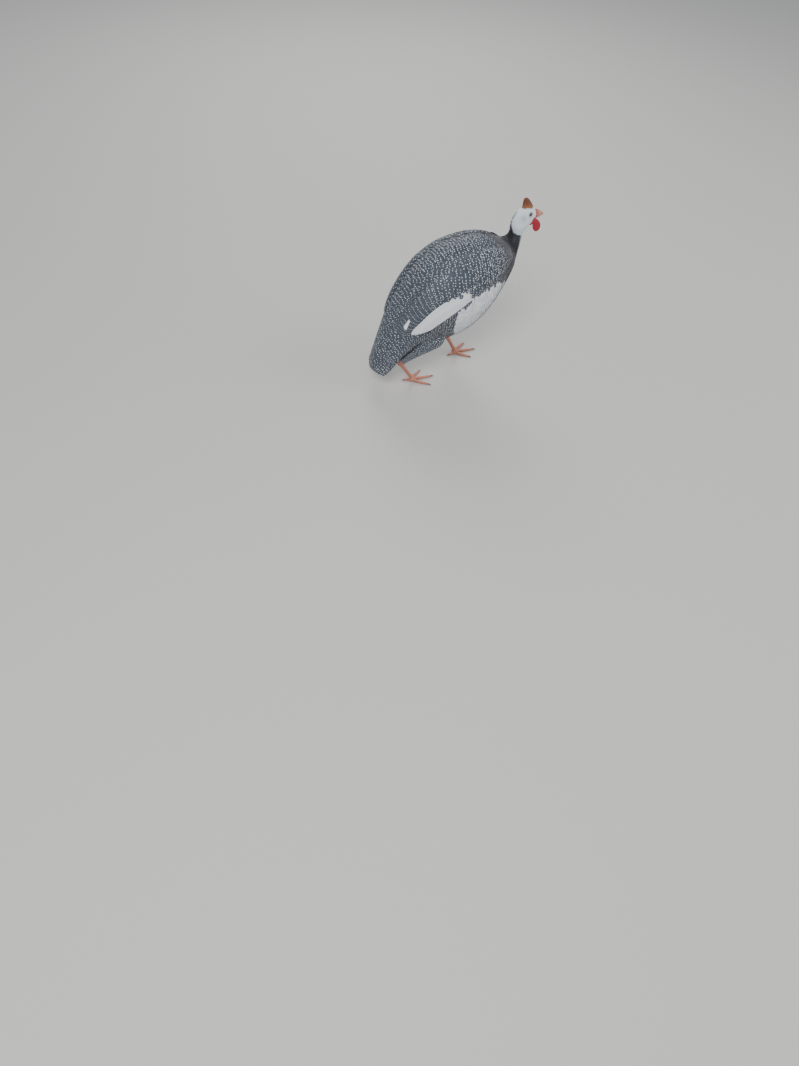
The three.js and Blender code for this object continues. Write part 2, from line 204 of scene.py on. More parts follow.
def bell(distance: Array, width: float) -> Array:
    """Round bump, exp(-(distance / width)²)."""
    return np.exp(-((np.asarray(distance, float) / width) ** 2))


def spline(table: Array, at: Array) -> Array:
    """Uniform Catmull-Rom curve through the rows of a table.

    Args:
        table: rows of numbers.
        at: places along it, counted in rows.

    Returns:
        One row of numbers for each place.
    """
    ends = np.vstack([2 * table[0] - table[1], table, 2 * table[-1] - table[-2]])
    at = np.clip(np.asarray(at, float), 0, len(table) - 1)
    start = np.minimum(at.astype(int), len(table) - 2)
    f = (at - start)[..., None]
    a, b, c, d = (ends[start + k] for k in range(4))
    return 0.5 * (2 * b + (c - a) * f + (2 * a - 5 * b + 4 * c - d) * f ** 2
                  + (3 * b - a - 3 * c + d) * f ** 3)


def unit(vectors: Array) -> Array:
    """Vectors of length one along the last axis."""
    return vectors / np.maximum(np.linalg.norm(vectors, axis=-1, keepdims=True), 1e-9)


class Surface:
    """A closed surface of two parameters, u along it and v the angle round it in degrees."""

    last: float

    def point(self, u: Array, v: Array) -> Array:
        """Place on the surface, in millimetres."""
        raise NotImplementedError

    def slopes(self, u: Array, v: Array) -> tuple[Array, Array]:
        """Change of place for one unit of u and one degree of v, by central differences."""
        du, dv = 0.02, 1.0
        low, high = np.clip(u - du, 0, self.last), np.clip(u + du, 0, self.last)
        along = (self.point(high, v) - self.point(low, v)) / np.maximum(high - low, 1e-6)[..., None]
        return along, (self.point(u, v + dv) - self.point(u, v - dv)) / (2 * dv)

    def normal(self, u: Array, v: Array) -> Array:
        """Outward normal."""
        along, round_ = self.slopes(u, v)
        return unit(np.cross(round_, along)) * -1

    def at(self, u: Array, v: Array, lift: Array = 0.0) -> Array:
        """Place lifted off the surface along its normal."""
        u, v, lift = np.broadcast_arrays(np.asarray(u, float), v, lift)
        return self.point(u, v) + self.normal(u, v) * lift[..., None]

    def unwrap(self, u: Array, v: Array) -> Array:
        """Place on the flat unwrap of this surface, from 0.03 to 0.97."""
        place = np.stack([np.mod(v, 360) / 360, np.asarray(u) / self.last], -1)
        return place * (1 - 2 * UNWRAP_MARGIN) + UNWRAP_MARGIN


@dataclass
class Loft(Surface):
    """Elliptical sections between a back line and a belly line on the midline.

    p = middle + (back - belly) / 2 (cos v - sag sin² v) + half sin v along Y
    """

    table: Array

    def __post_init__(self) -> None:
        self.last = float(len(self.table) - 1)

    def point(self, u: Array, v: Array) -> Array:
        u, v = np.broadcast_arrays(np.asarray(u, float), np.asarray(v, float))
        row = spline(self.table, u)
        sine, cosine = np.sin(np.radians(v)), np.cos(np.radians(v))
        up = (cosine - row[..., 5] * sine ** 2) / 2
        x = (row[..., 0] + row[..., 2]) / 2 + (row[..., 0] - row[..., 2]) * up
        z = (row[..., 1] + row[..., 3]) / 2 + (row[..., 1] - row[..., 3]) * up
        return np.stack([x, row[..., 4] * sine, z], -1)

    def depth(self, u: Array) -> Array:
        """Depth of the coat over the skin."""
        return spline(self.table, u)[..., 6]


@dataclass
class Limb(Surface):
    """Elliptical rings round a line; ref is the way the half height is measured."""

    table: Array
    ref: tuple[float, float, float]

    def __post_init__(self) -> None:
        self.last = float(len(self.table) - 1)

    def point(self, u: Array, v: Array) -> Array:
        u, v = np.broadcast_arrays(np.asarray(u, float), np.asarray(v, float))
        row = spline(self.table, u)
        ahead = np.minimum(u + 0.05, self.last)
        tangent = unit(spline(self.table, ahead)[..., :3]
                       - spline(self.table, ahead - 0.1)[..., :3])
        across = unit(np.cross(np.array(self.ref, float), tangent))
        up = np.cross(tangent, across)
        c, s = np.cos(np.radians(v))[..., None], np.sin(np.radians(v))[..., None]
        return row[..., :3] + across * row[..., 3:4] * c + up * row[..., 4:5] * s

    def normal(self, u: Array, v: Array) -> Array:
        along, round_ = self.slopes(u, v)
        return unit(np.cross(round_, along))


@dataclass
class Shape:
    """Points, faces and looks of a mesh in the making."""

    points: Array
    faces: list[Array]
    tint: Array
    uv: Array | None = None
    vane: Array | None = None

    @staticmethod
    def joined(shapes: list["Shape"]) -> "Shape":
        """One shape of several."""
        starts = np.cumsum([0] + [len(s.points) for s in shapes])
        faces = [f + start for s, start in zip(shapes, starts) for f in s.faces]
        stack = {
            key: None if getattr(shapes[0], key) is None
            else np.concatenate([getattr(s, key) for s in shapes])
            for key in ("points", "tint", "uv", "vane")
        }
        return Shape(stack["points"], faces, stack["tint"], stack["uv"], stack["vane"])

    def mesh(self, name: str) -> bpy.types.Mesh:
        """Writes the mesh in metres, in the CAD model's frame.

        Args:
            name: name of the mesh.

        Returns:
            The mesh, smooth, with its Tint colours and its UV maps.
        """
        mesh = bpy.data.meshes.new(name)
        corners = np.concatenate([f.ravel() for f in self.faces]).astype(np.int32)
        sizes = np.concatenate([np.full(len(f), f.shape[1]) for f in self.faces])
        starts = np.concatenate([[0], np.cumsum(sizes)[:-1]]).astype(np.int32)
        mesh.vertices.add(len(self.points))
        mesh.vertices.foreach_set("co", ((self.points + PLACE) / 1000).astype(np.float32).ravel())
        mesh.loops.add(len(corners))
        mesh.loops.foreach_set("vertex_index", corners)
        mesh.polygons.add(len(sizes))
        mesh.polygons.foreach_set("loop_start", starts)
        mesh.polygons.foreach_set("use_smooth", np.ones(len(sizes), bool))
        mesh.update(calc_edges=True)
        for layer, values in (("OFBake", self.uv), ("Vane", self.vane)):
            if values is not None:
                uv = mesh.uv_layers.new(name=layer)
                uv.uv.foreach_set("vector", values[corners].astype(np.float32).ravel())
        paint(mesh, self.tint)
        return mesh


def paint(mesh: bpy.types.Mesh, tint: Array) -> None:
    """Stores a linear colour for each vertex as the attribute Tint."""
    colours = np.ones((len(mesh.vertices), 4), np.float32)
    colours[:, :3] = tint
    layer = mesh.color_attributes.new(name="Tint", type="FLOAT_COLOR", domain="POINT")
    layer.data.foreach_set("color", colours.ravel())


def closed(rings: Array, tint: Array) -> Shape:
    """Closed shape through a grid of rings, each end closed by a fan.

    Args:
        rings: points, counted along, round, xyz.
        tint: a colour, or one for each point.

    Returns:
        The shape with its faces outwards.
    """
    n, m, _ = rings.shape
    grid = np.arange(n * m).reshape(n, m)
    after = np.roll(grid, -1, axis=1)
    quads = np.stack([grid[:-1], after[:-1], after[1:], grid[1:]], -1).reshape(-1, 4)
    ends = np.stack([rings[0].mean(0), rings[-1].mean(0)])
    fans = np.concatenate([
        np.stack([np.full(m, n * m), after[0], grid[0]], -1),
        np.stack([np.full(m, n * m + 1), grid[-1], after[-1]], -1),
    ])
    points = np.concatenate([rings.reshape(-1, 3), ends])
    tint = np.broadcast_to(tint, (n, m, 3))
    tints = np.concatenate([tint.reshape(-1, 3), tint[0].mean(0)[None], tint[-1].mean(0)[None]])
    a, b, c = (points[fans[:, k]] for k in range(3))
    q = points[quads]
    volume = np.einsum("ij,ij->", a, np.cross(b, c))
    for k in (1, 2):
        volume += np.einsum("ij,ij->", q[:, 0], np.cross(q[:, k], q[:, k + 1]))
    if volume < 0:
        quads, fans = quads[:, ::-1], fans[:, ::-1]
    return Shape(points, [quads, fans], tints)


def parameters(surface: Surface, along: int, round_: int, low: float = 0.0) -> tuple[Array, Array]:
    """A grid of both parameters of a surface, along from low to its end and once round."""
    u = np.linspace(low, surface.last, along)[:, None]
    v = np.linspace(0, 360, round_, endpoint=False)[None, :]
    return np.broadcast_arrays(u, v)


def sphere(along: int, round_: int) -> Array:
    """Rings of a unit sphere from pole to pole, sin a cos b, sin a sin b, cos a."""
    a = np.linspace(0.02, np.pi - 0.02, along)[:, None]
    b = np.linspace(0, 2 * np.pi, round_, endpoint=False)[None]
    return np.stack(np.broadcast_arrays(np.sin(a) * np.cos(b), np.sin(a) * np.sin(b),
                                        np.cos(a)), -1)


# Finishes


def fresh(name: str) -> tuple[bpy.types.Material, bpy.types.NodeTree]:
    """A material with an empty node tree."""
    material = bpy.data.materials.new(name)
    material.use_nodes = True
    material.node_tree.nodes.clear()
    return material, material.node_tree


def add(tree: bpy.types.NodeTree, kind: str, inputs: dict | None = None, **settings):
    """Adds a node, sets it and links it.

    Args:
        tree: the node tree.
        kind: the node's type.
        inputs: socket name or number to a value or to an output socket.
        **settings: attributes of the node.

    Returns:
        The node.
    """
    node = tree.nodes.new(kind)
    for key, value in settings.items():
        setattr(node, key, value)
    for key, value in (inputs or {}).items():
        if isinstance(value, bpy.types.NodeSocket):
            tree.links.new(value, node.inputs[key])
        else:
            node.inputs[key].default_value = value
    return node


@dataclass(frozen=True)
class Finish:
    """A surface whose colour is the Tint attribute, mottled and roughened by noise.

    mottle is the share that the colour varies by, over spots of grain millimetres.
    """

    name: str
    roughness: float
    mottle: float = 0.1
    grain: float = 4.0
    bump: float = 0.1
    relief_mm: float = 0.2
    sheen: float = 0.0
    soft: float = 0.0
    barbs: bool = False

    def build(self) -> bpy.types.Material:
        """Makes the node material."""
        material, tree = fresh(self.name)
        place = add(tree, "ShaderNodeTexCoord").outputs["Object"]
        noise = add(tree, "ShaderNodeTexNoise", {
            "Vector": place, "Scale": 1000 / self.grain, "Detail": 4.0, "Roughness": 0.6})
        height = noise.outputs["Fac"]
        value = add(tree, "ShaderNodeMapRange", {
            "Value": height, "From Min": 0.25, "From Max": 0.75,
            "To Min": 1 - self.mottle, "To Max": 1 + self.mottle}).outputs["Result"]
        if self.barbs:
            value, height = self.barbed(tree, value)
        tint = add(tree, "ShaderNodeAttribute", attribute_name="Tint").outputs["Color"]
        colour = add(tree, "ShaderNodeVectorMath", {0: tint, 1: value}, operation="MULTIPLY")
        bump = add(tree, "ShaderNodeBump", {
            "Height": height, "Strength": self.bump, "Distance": self.relief_mm / 1000})
        shader = add(tree, "ShaderNodeBsdfPrincipled", {
            "Base Color": colour.outputs["Vector"], "Roughness": self.roughness,
            "Normal": bump.outputs["Normal"], "Sheen Weight": self.sheen,
            "Subsurface Weight": self.soft, "Subsurface Radius": (0.004, 0.0015, 0.001)})
        output = add(tree, "ShaderNodeOutputMaterial")
        tree.links.new(shader.outputs["BSDF"], output.inputs["Surface"])
        return material

    @staticmethod
    def barbed(tree: bpy.types.NodeTree, value: bpy.types.NodeSocket) -> tuple:
        """Barbs slanting off a paler shaft, by the vane's own UV map, across and along it."""
        vane = add(tree, "ShaderNodeUVMap", uv_map="Vane").outputs["UV"]
        split = add(tree, "ShaderNodeSeparateXYZ", {0: vane})
        off = add(tree, "ShaderNodeMath", {0: split.outputs["X"], 1: 0.5}, operation="SUBTRACT")
        away = add(tree, "ShaderNodeMath", {0: off.outputs[0]}, operation="ABSOLUTE").outputs[0]
        slant = add(tree, "ShaderNodeMath", {0: away, 1: -0.5, 2: split.outputs["Y"]},
                    operation="MULTIPLY_ADD").outputs[0]
        turns = add(tree, "ShaderNodeMath", {0: slant, 1: 150.0}, operation="MULTIPLY").outputs[0]
        barb = add(tree, "ShaderNodeMath", {0: turns}, operation="SINE").outputs[0]
        shaft = add(tree, "ShaderNodeMapRange", {
            "Value": away, "From Min": 0.015, "From Max": 0.05, "To Min": 1.25, "To Max": 1.0,
        }).outputs["Result"]
        streak = add(tree, "ShaderNodeMath", {0: barb, 1: 0.05, 2: shaft},
                     operation="MULTIPLY_ADD").outputs[0]
        both = add(tree, "ShaderNodeMath", {0: value, 1: streak}, operation="MULTIPLY").outputs[0]
        return both, barb


FINISHES = {
    # soft plumage with a faint bloom
    "slate_feather": Finish("slate_feather_vane", 0.6, 0.1, 5, 0.12, 0.12, 0.12, barbs=True),
    "white_feather": Finish("white_feather_vane", 0.65, 0.03, 5, 0.1, 0.1, 0.1, barbs=True),
    "pearl": Finish("white_pearl_spot", 0.7, 0.04, 3, 0.05, 0.1),
    # bare skin and leg scales, told apart by their tint
    "face_skin": Finish("bare_skin_and_leg_scale", 0.5, 0.07, 1.6, 0.25, 0.25, soft=0.06),
    "casque_horn": Finish("rough_brown_casque_horn", 0.62, 0.22, 2.2, 0.5, 0.5),
    "bill_horn": Finish("smooth_bill_horn", 0.35, 0.08, 3.5, 0.12, 0.15),
    "claw_horn": Finish("dark_claw_horn", 0.4, 0.1, 2.5, 0.1, 0.1),
}


def eye_material() -> bpy.types.Material:
    """Wet eye: black pupil and dark brown iris, by the distance from the eye's axis."""
    material, tree = fresh("wet_dark_eye")
    place = add(tree, "ShaderNodeTexCoord").outputs["Object"]
    middle = (EYE_AT + PLACE) / 1000
    off = add(tree, "ShaderNodeVectorMath", {0: place, 1: (middle[0], 0, middle[2])},
              operation="SUBTRACT").outputs[0]
    flat = add(tree, "ShaderNodeVectorMath", {0: off, 1: (1, 0, 1)}, operation="MULTIPLY")
    radius = add(tree, "ShaderNodeVectorMath", {0: flat.outputs[0]}, operation="LENGTH")
    share = add(tree, "ShaderNodeMath", {0: radius.outputs["Value"], 1: EYE_RADIUS / 1000},
                operation="DIVIDE").outputs[0]
    ramp = add(tree, "ShaderNodeValToRGB", {"Fac": share})
    stops = [(0.0, "040303"), (0.44, "040303"), (0.5, "3c2214"), (0.78, "26160e"), (0.88, "0c0807")]
    while len(ramp.color_ramp.elements) < len(stops):
        ramp.color_ramp.elements.new(0.5)
    for stop, (where, code) in zip(ramp.color_ramp.elements, stops):
        stop.position = where
        stop.color = (*srgb(code), 1)
    shader = add(tree, "ShaderNodeBsdfPrincipled", {
        "Base Color": ramp.outputs["Color"], "Roughness": 0.06, "Coat Weight": 1.0,
        "Coat Roughness": 0.03})
    output = add(tree, "ShaderNodeOutputMaterial")
    tree.links.new(shader.outputs["BSDF"], output.inputs["Surface"])
    return material


@dataclass
class Workshop:
    """Makes pieces and holds their finishes."""

    finishes: dict[str, bpy.types.Material] = field(default_factory=dict)

    def finish(self, name: str) -> bpy.types.Material:
        """The material of that name, made when first asked for."""
        if name not in self.finishes:
            self.finishes[name] = eye_material() if name == "eyeball" else FINISHES[name].build()
        return self.finishes[name]

    def piece(self, name: str, mesh: bpy.types.Mesh, finish: str, nodes: tuple = (),
              slot: str | None = None) -> bpy.types.Object:
        """Puts a mesh in the scene as a piece that rides on the body.

        Args:
            name: the piece's name.
            mesh: its mesh, already in place.
            finish: its finish.
            nodes: the CAD nodes it stands for.
            slot: not used.

        Returns:
            The object.
        """
        mesh.materials.clear()
        mesh.materials.append(self.finish(finish))
        made = bpy.data.objects.new(name, mesh)
        bpy.context.scene.collection.objects.link(made)
        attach(made, "root")
        if nodes:
            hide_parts(*nodes)
        triangles = sum(len(p.vertices) - 2 for p in mesh.polygons)
        LOG.info("%s: %d triangles", name, triangles)
        return made

    def feathers(self, name: str, vanes: "Vanes", finish: str = "slate_feather",
                 nodes: tuple = ()) -> None:
        """Makes vanes a piece."""
        self.piece(name, vanes.shape().mesh(name), finish, nodes)

    def pearls(self, name: str, discs: Shape) -> None:
        """Makes pearls a piece."""
        self.piece(name, discs.mesh(name), "pearl", slot="white_feather")


# Body surfaces and markings

BODY_LOFT = Loft(BODY)
HEAD_LOFT = Loft(HEAD)


def turned(v: Array) -> Array:
    """Angle from the back, from 0 to 180 degrees, on either side."""
    return 180 - np.abs(np.mod(v, 360) - 180)


def fold_at(u: Array) -> Array:
    """Angle from the back where the secondaries end and the primaries show."""
    return 68 - 14 * smooth(u, 9.4, 13.1)


def low_at(u: Array) -> Array:
    """Angle from the back of the wing's lower edge."""
    return 97 - 16 * smooth(u, 6.8, 9.2) - 6 * smooth(u, 9.2, 10.4) - 6 * smooth(u, 10.4, 13)


def wing_lift(u: Array, v: Array) -> Array:
    """Height of the folded wing over the flank, a flat dome with steep edges, in millimetres."""
    turn = turned(v)
    p = (WING_FRONT - u) / (WING_FRONT - WING_REAR)
    q = (turn - WING_TOP) / (low_at(u) + 2 - WING_TOP)
    dome = (1 - np.abs(2 * np.clip(p, 0, 1) - 1) ** 4) * (1 - np.abs(2 * np.clip(q, 0, 1) - 1) ** 4)
    return dome * (WING_HEIGHT - WING_THINNING * smooth(turn, 55, 92))


def in_patch(points: Array) -> Array:
    """True where a point lies in the white breast seen from the side, by even-odd crossings."""
    x, z = points[..., 0], points[..., 2]
    inside = np.zeros(x.shape, bool)
    for (x0, z0), (x1, z1) in zip(BREAST_PATCH, np.roll(BREAST_PATCH, -1, axis=0)):
        if z0 != z1:
            crosses = ((z0 > z) != (z1 > z)) & (x < x0 + (x1 - x0) * (z - z0) / (z1 - z0))
            inside ^= crosses
    return inside


def plumage(u: Array, v: Array, points: Array) -> Array:
    """Colour of the body's plumage at its parameters and places.

    Slate fades to mauve at the upper breast, the lower breast is white, and the neck is dark at
    the nape with a pale strip down the throat.
    """
    def mix(a: Array, b: Array, share: Array) -> Array:
        return a + (b - a) * np.asarray(share)[..., None]

    front = np.abs(np.mod(v, 360) - 180)
    colour = mix(np.broadcast_to(SLATE, (*np.shape(u), 3)), MAUVE, smooth(u, 11.0, 12.8))
    colour = mix(colour, NAPE, smooth(u, 13.4, 14.8))
    colour = mix(colour, FACE_BLUE * 0.7, smooth(u, 13.5, 14.7) * (1 - smooth(front, 58, 84)))
    return mix(colour, WHITE, in_patch(points) * 1.0)


class VaneForm(Enum):
    """Outlines of vanes: rounded contour feather, long quill, thin plume."""

    CONTOUR = (8, 5)
    QUILL = (30, 6)
    PLUME = (5, 2)

    @property
    def crowding(self) -> float:
        """Power that draws the rows towards the tip, 1 for even rows."""
        return 1.0 if self is VaneForm.PLUME else 1.6

    def half(self, s: Array) -> Array:
        """Half width as a share of the widest, at the share s of the length.

        CONTOUR: widens to s = 0.6, then a round tip. QUILL: nearly parallel, round tip.
        PLUME: a spindle.
        """
        if self is VaneForm.PLUME:
            return np.sqrt(np.clip(1 - s, 0.02, 1)) * 0.9
        start, low = (0.6, 0.4) if self is VaneForm.CONTOUR else (0.9, 0.55)
        tip = np.sqrt(np.clip(1 - ((s - start) / (1 - start)) ** 2, 0, 1))
        grown = low + (1 - low) * smooth(s, 0, start)
        return np.where(s < start, grown, np.maximum(tip, 0.06))


@dataclass
class Vanes:
    """Many feathers on one surface, from root to tip in its parameters.

    lift holds the heights of root and tip over the surface; base adds a height that follows the
    surface, such as the folded wing's.
    """

    surface: Surface
    form: VaneForm
    root: Array
    tip: Array
    width: Array
    lift: Array
    tint: Array
    camber: float = 0.06
    base: Callable[[Array, Array], Array] | None = None

    def place(self, s: Array, off: Array, raised: float = 0.0) -> Array:
        """Points of each vane.

        Args:
            s: shares along the vane, one row for each vane or shared.
            off: millimetres across it.
            raised: extra height.

        Returns:
            Points, vane by vane.
        """
        n = len(self.root)
        s, off = np.broadcast_to(s, (n, s.shape[-1])), np.broadcast_to(off, (n, off.shape[-1]))
        along, round_ = self.surface.slopes(self.root[:, 0], self.root[:, 1])
        scale = np.stack([np.linalg.norm(along, axis=-1), np.linalg.norm(round_, axis=-1)], -1)
        way = unit((self.tip - self.root) * scale)
        side = np.stack([-way[:, 1], way[:, 0]], -1) / scale
        uv = self.root[:, None] + (self.tip - self.root)[:, None] * s[..., None]
        uv = uv + side[:, None] * off[..., None]
        u, v = np.clip(uv[..., 0], 0, self.surface.last), uv[..., 1]
        share = 2 * off / self.width[:, None]
        lift = self.lift[:, :1] + (self.lift[:, 1:] - self.lift[:, :1]) * s + raised
        lift = lift - self.camber * self.width[:, None] * share ** 2
        if self.base is not None:
            lift = lift + self.base(u, v)
        return self.surface.at(u, v, lift)

    def shape(self) -> Shape:
        """Every vane as a thin sheet of quads, with its patch on the unwrap."""
        rows, columns = self.form.value
        s = 1 - (1 - np.linspace(0, 1, rows + 1)) ** self.form.crowding
        t = np.linspace(-1, 1, columns + 1)
        s_grid, t_grid = (g.ravel() for g in np.meshgrid(s, t, indexing="ij"))
        half = self.form.half(s_grid)[None] * self.width[:, None] / 2
        points = self.place(s_grid[None], t_grid[None] * half)
        grid = np.arange(len(s_grid)).reshape(rows + 1, columns + 1)
        quad = np.stack([grid[:-1, :-1], grid[:-1, 1:], grid[1:, 1:], grid[1:, :-1]], -1)
        quad = quad.reshape(-1, 4)
        n = len(self.root)
        faces = (quad[None] + np.arange(n)[:, None, None] * len(s_grid)).reshape(-1, 4)
        patch = np.stack([t_grid, s_grid * 2 - 1], -1) * TUFT_REACH
        uv = self.surface.unwrap(self.root[:, 0], self.root[:, 1])[:, None] + patch
        vane = np.broadcast_to(np.stack([t_grid / 2 + 0.5, s_grid], -1), uv.shape)
        tint = np.broadcast_to(self.tint[:, None], points.shape)
        return Shape(points.reshape(-1, 3), [faces], tint.reshape(-1, 3), uv.reshape(-1, 2),
                     vane.reshape(-1, 2))

    def pearls(self, spots: list[tuple[float, float]], radius: Array) -> Shape:
        """White pearls, small discs just over each vane.

        Args:
            spots: share along the vane and share of its half width across it.
            radius: radius on each vane in millimetres, or one for all.

        Returns:
            The discs as one shape.
        """
        radius = np.broadcast_to(radius, len(self.root))
        length = np.linalg.norm(self.place(np.array([[1.0]]), np.zeros((1, 1)))
                                - self.place(np.array([[0.0]]), np.zeros((1, 1))), axis=-1)
        angles = np.arange(PEARL_SIDES) * 2 * np.pi / PEARL_SIDES
        ring = np.concatenate([[[0, 0]], np.stack([np.cos(angles), np.sin(angles)], -1)])
        fan = np.array([[0, 1 + k, 1 + (k + 1) % PEARL_SIDES] for k in range(PEARL_SIDES)])
        shapes = []
        for along, across in spots:
            half = self.form.half(np.array([along]))[0] * self.width / 2
            size = radius[:, None] * RNG.uniform(0.75, 1.15, (len(radius), 1))
            drift = RNG.normal(0, 0.5, (2, len(radius), 1))
            s = along + (ring[None, :, 0] * size + drift[0]) / length
            off = across * half[:, None] + ring[None, :, 1] * size + drift[1]
            points = self.place(np.clip(s, 0, 1), off, PEARL_LIFT)
            n = len(points)
            faces = (fan[None] + np.arange(n)[:, None, None] * len(ring)).reshape(-1, 3)
            root = self.surface.unwrap(self.root[:, 0], self.root[:, 1])[:, None]
            uv = root + ring[None] * TUFT_REACH
            tint = np.broadcast_to(WHITE, (n * len(ring), 3))
            shapes.append(Shape(points.reshape(-1, 3), [faces], tint, uv.reshape(-1, 2)))
        return Shape.joined(shapes)


def lattice(surface: Surface, low: float, high: float,
            spacing: Callable[[float], float]) -> Array:
    """Staggered rows of roots round a surface.

    Args:
        surface: where they stand.
        low: u of the first row.
        high: u of the last row.
        spacing: function of u that gives the millimetres between roots.

    Returns:
        Rows of u and v.
    """
    made, u, row = [], low, 0
    v_all = np.linspace(0, 360, GIRTH_SAMPLES, endpoint=False)
    while u < high:
        along, round_ = surface.slopes(np.full(GIRTH_SAMPLES, u), v_all)
        girth = np.linalg.norm(round_, axis=-1).sum() * (360 / GIRTH_SAMPLES)
        gap = float(spacing(u))
        count = max(int(girth / gap), 4)
        v = (np.arange(count) + 0.5 * (row % 2)) * 360 / count
        v = v + RNG.uniform(-SCATTER, SCATTER, count) * 360 / count
        step = gap / np.linalg.norm(along, axis=-1).mean()
        along_it = u + RNG.uniform(-SCATTER, SCATTER, count) * step
        made.append(np.stack([np.clip(along_it, 0, surface.last - 0.05), v], -1))
        u, row = u + ROW_SHARE * step, row + 1
    return np.concatenate(made)


def laid(surface: Surface, form: VaneForm, root: Array, length: Array | float,
         width: Array | float, lift: tuple[Array | float, Array | float], tint: Array,
         toward: float = -1.0, slant: float = 0.1, **more) -> Vanes:
    """Vanes that lie along a surface, with a little scatter.

    Args:
        surface: where they lie.
        form: their outline.
        root: rows of u and v.
        length: their lengths in millimetres.
        width: their widths.
        lift: heights of roots and tips.
        tint: their colours, which vary by a few parts in a hundred from vane to vane.
        toward: -1 to lie towards low u, 1 towards high u.
        slant: scatter of their direction in radians.
        **more: passed to Vanes.

    Returns:
        The vanes.
    """
    n = len(root)
    along, round_ = surface.slopes(root[:, 0], root[:, 1])
    angle = RNG.normal(0, slant, n)
    du = toward * length * np.cos(angle) / np.maximum(np.linalg.norm(along, axis=-1), 1e-3)
    dv = length * np.sin(angle) / np.maximum(np.linalg.norm(round_, axis=-1), 0.05)
    tip = root + np.stack([du, dv], -1)
    tip[:, 0] = np.clip(tip[:, 0], 0.02, surface.last)
    heights = np.stack([np.broadcast_to(h, n) for h in lift], -1)
    heights = heights + RNG.uniform(-0.25, 0.25, (n, 1))
    tint = tint * RNG.uniform(0.9, 1.1, (n, 1))
    return Vanes(surface, form, root, tip, np.broadcast_to(width, n) * RNG.uniform(0.9, 1.1, n),
                 heights, tint, **more)


# Pearls of a contour feather: share along it and share of its half width
SPOTS = [(0.66, 0.55), (0.6, -0.5), (0.88, 0.28), (0.84, -0.38)]


@dataclass
class BodyCoat:
    """Contour feathers of back, rump, flanks, breast and neck."""

    shop: Workshop
    pearl_radius: float = 1.1

    def build(self) -> None:
        """Lays the feathers and their pearls."""
        root = lattice(BODY_LOFT, 1.9, 13.7, lambda u: 8.2 - 3.2 * smooth(u, 10.8, 13.6))
        below = smooth(turned(root[:, 1]), 50, 60) * smooth(root[:, 0], 5.8, 6.4)
        behind = (turned(root[:, 1]) > 60) & (root[:, 0] < 6.2)
        root = root[(wing_lift(root[:, 0], root[:, 1]) < 4.5 - 3.8 * below) | behind]
        u, v = root.T
        points = BODY_LOFT.point(u, v)
        length = 30 - 15 * smooth(u, 10.2, 13.4) + 8 * (1 - smooth(u, 3.5, 6.5))
        width = 19 - 9 * smooth(u, 10.2, 13.4)
        depth = BODY_LOFT.depth(np.clip(u, 0, 16))
        vanes = laid(BODY_LOFT, VaneForm.CONTOUR, root, length, width,
                     (-0.5 * depth, 0.6), plumage(u, v, points), base=self.rise)
        white = in_patch(points)
        self.lay("coat_body", "pearls_body", vanes, white, u)
        self.neck()

    @staticmethod
    def rise(u: Array, v: Array) -> Array:
        """The back feathers lie over the folded wing's upper edge, the flank's go under it."""
        return 0.6 * wing_lift(u, v) * (1 - smooth(turned(v), 50, 66))

    def lay(self, name: str, pearls: str, vanes: Vanes, white: Array, u: Array) -> None:
        """Makes the slate and the white vanes as pieces, and the pearls of the slate ones."""
        parts = ((name, "slate_feather", ~white), (name + "_white", "white_feather", white))
        for piece, finish, mask in parts:
            self.shop.feathers(piece, chosen(vanes, mask), finish)
        spotted = ~white & (u < 12.6)
        radius = self.pearl_radius * (1 - 0.5 * smooth(u, 10.6, 12.4))
        self.shop.pearls(pearls, chosen(vanes, spotted).pearls(SPOTS, radius[spotted]))

    def neck(self) -> None:
        """Short hair-like plumes up the neck, thickest down the nape."""
        low = lattice(BODY_LOFT, 13.3, 15.9, lambda u: 2.1 - 0.4 * smooth(u, 13.5, 15.5))
        u, v = low.T
        tint = plumage(u, v, BODY_LOFT.point(u, v))
        collar = laid(BODY_LOFT, VaneForm.PLUME, low, 9.0, 2.2,
                      (-BODY_LOFT.depth(u) * 0.8, -0.1), tint, slant=0.16)
        high = lattice(HEAD_LOFT, 0.1, 5.4, lambda u: 1.9)
        u, v = high.T
        turn = turned(v)
        nape = turn < 40 - 36 * smooth(u, 0.4, 3.4) + RNG.normal(0, 3, len(u))
        ragged = (turn < 140) & (u < 0.3 + 1.1 * RNG.random(len(u)) ** 2)
        high = high[nape | ragged]
        crest = laid(HEAD_LOFT, VaneForm.PLUME, high, 6.5, 0.9, (-0.5, 0.9), NAPE,
                     slant=0.2)
        shape = Shape.joined([collar.shape(), crest.shape()])
        self.shop.piece("coat_neck", shape.mesh("coat_neck"), "slate_feather")


def chosen(vanes: Vanes, mask: Array) -> Vanes:
    """Only the vanes in the mask."""
    return Vanes(vanes.surface, vanes.form, vanes.root[mask], vanes.tip[mask], vanes.width[mask],
                 vanes.lift[mask], vanes.tint[mask], vanes.camber, vanes.base)


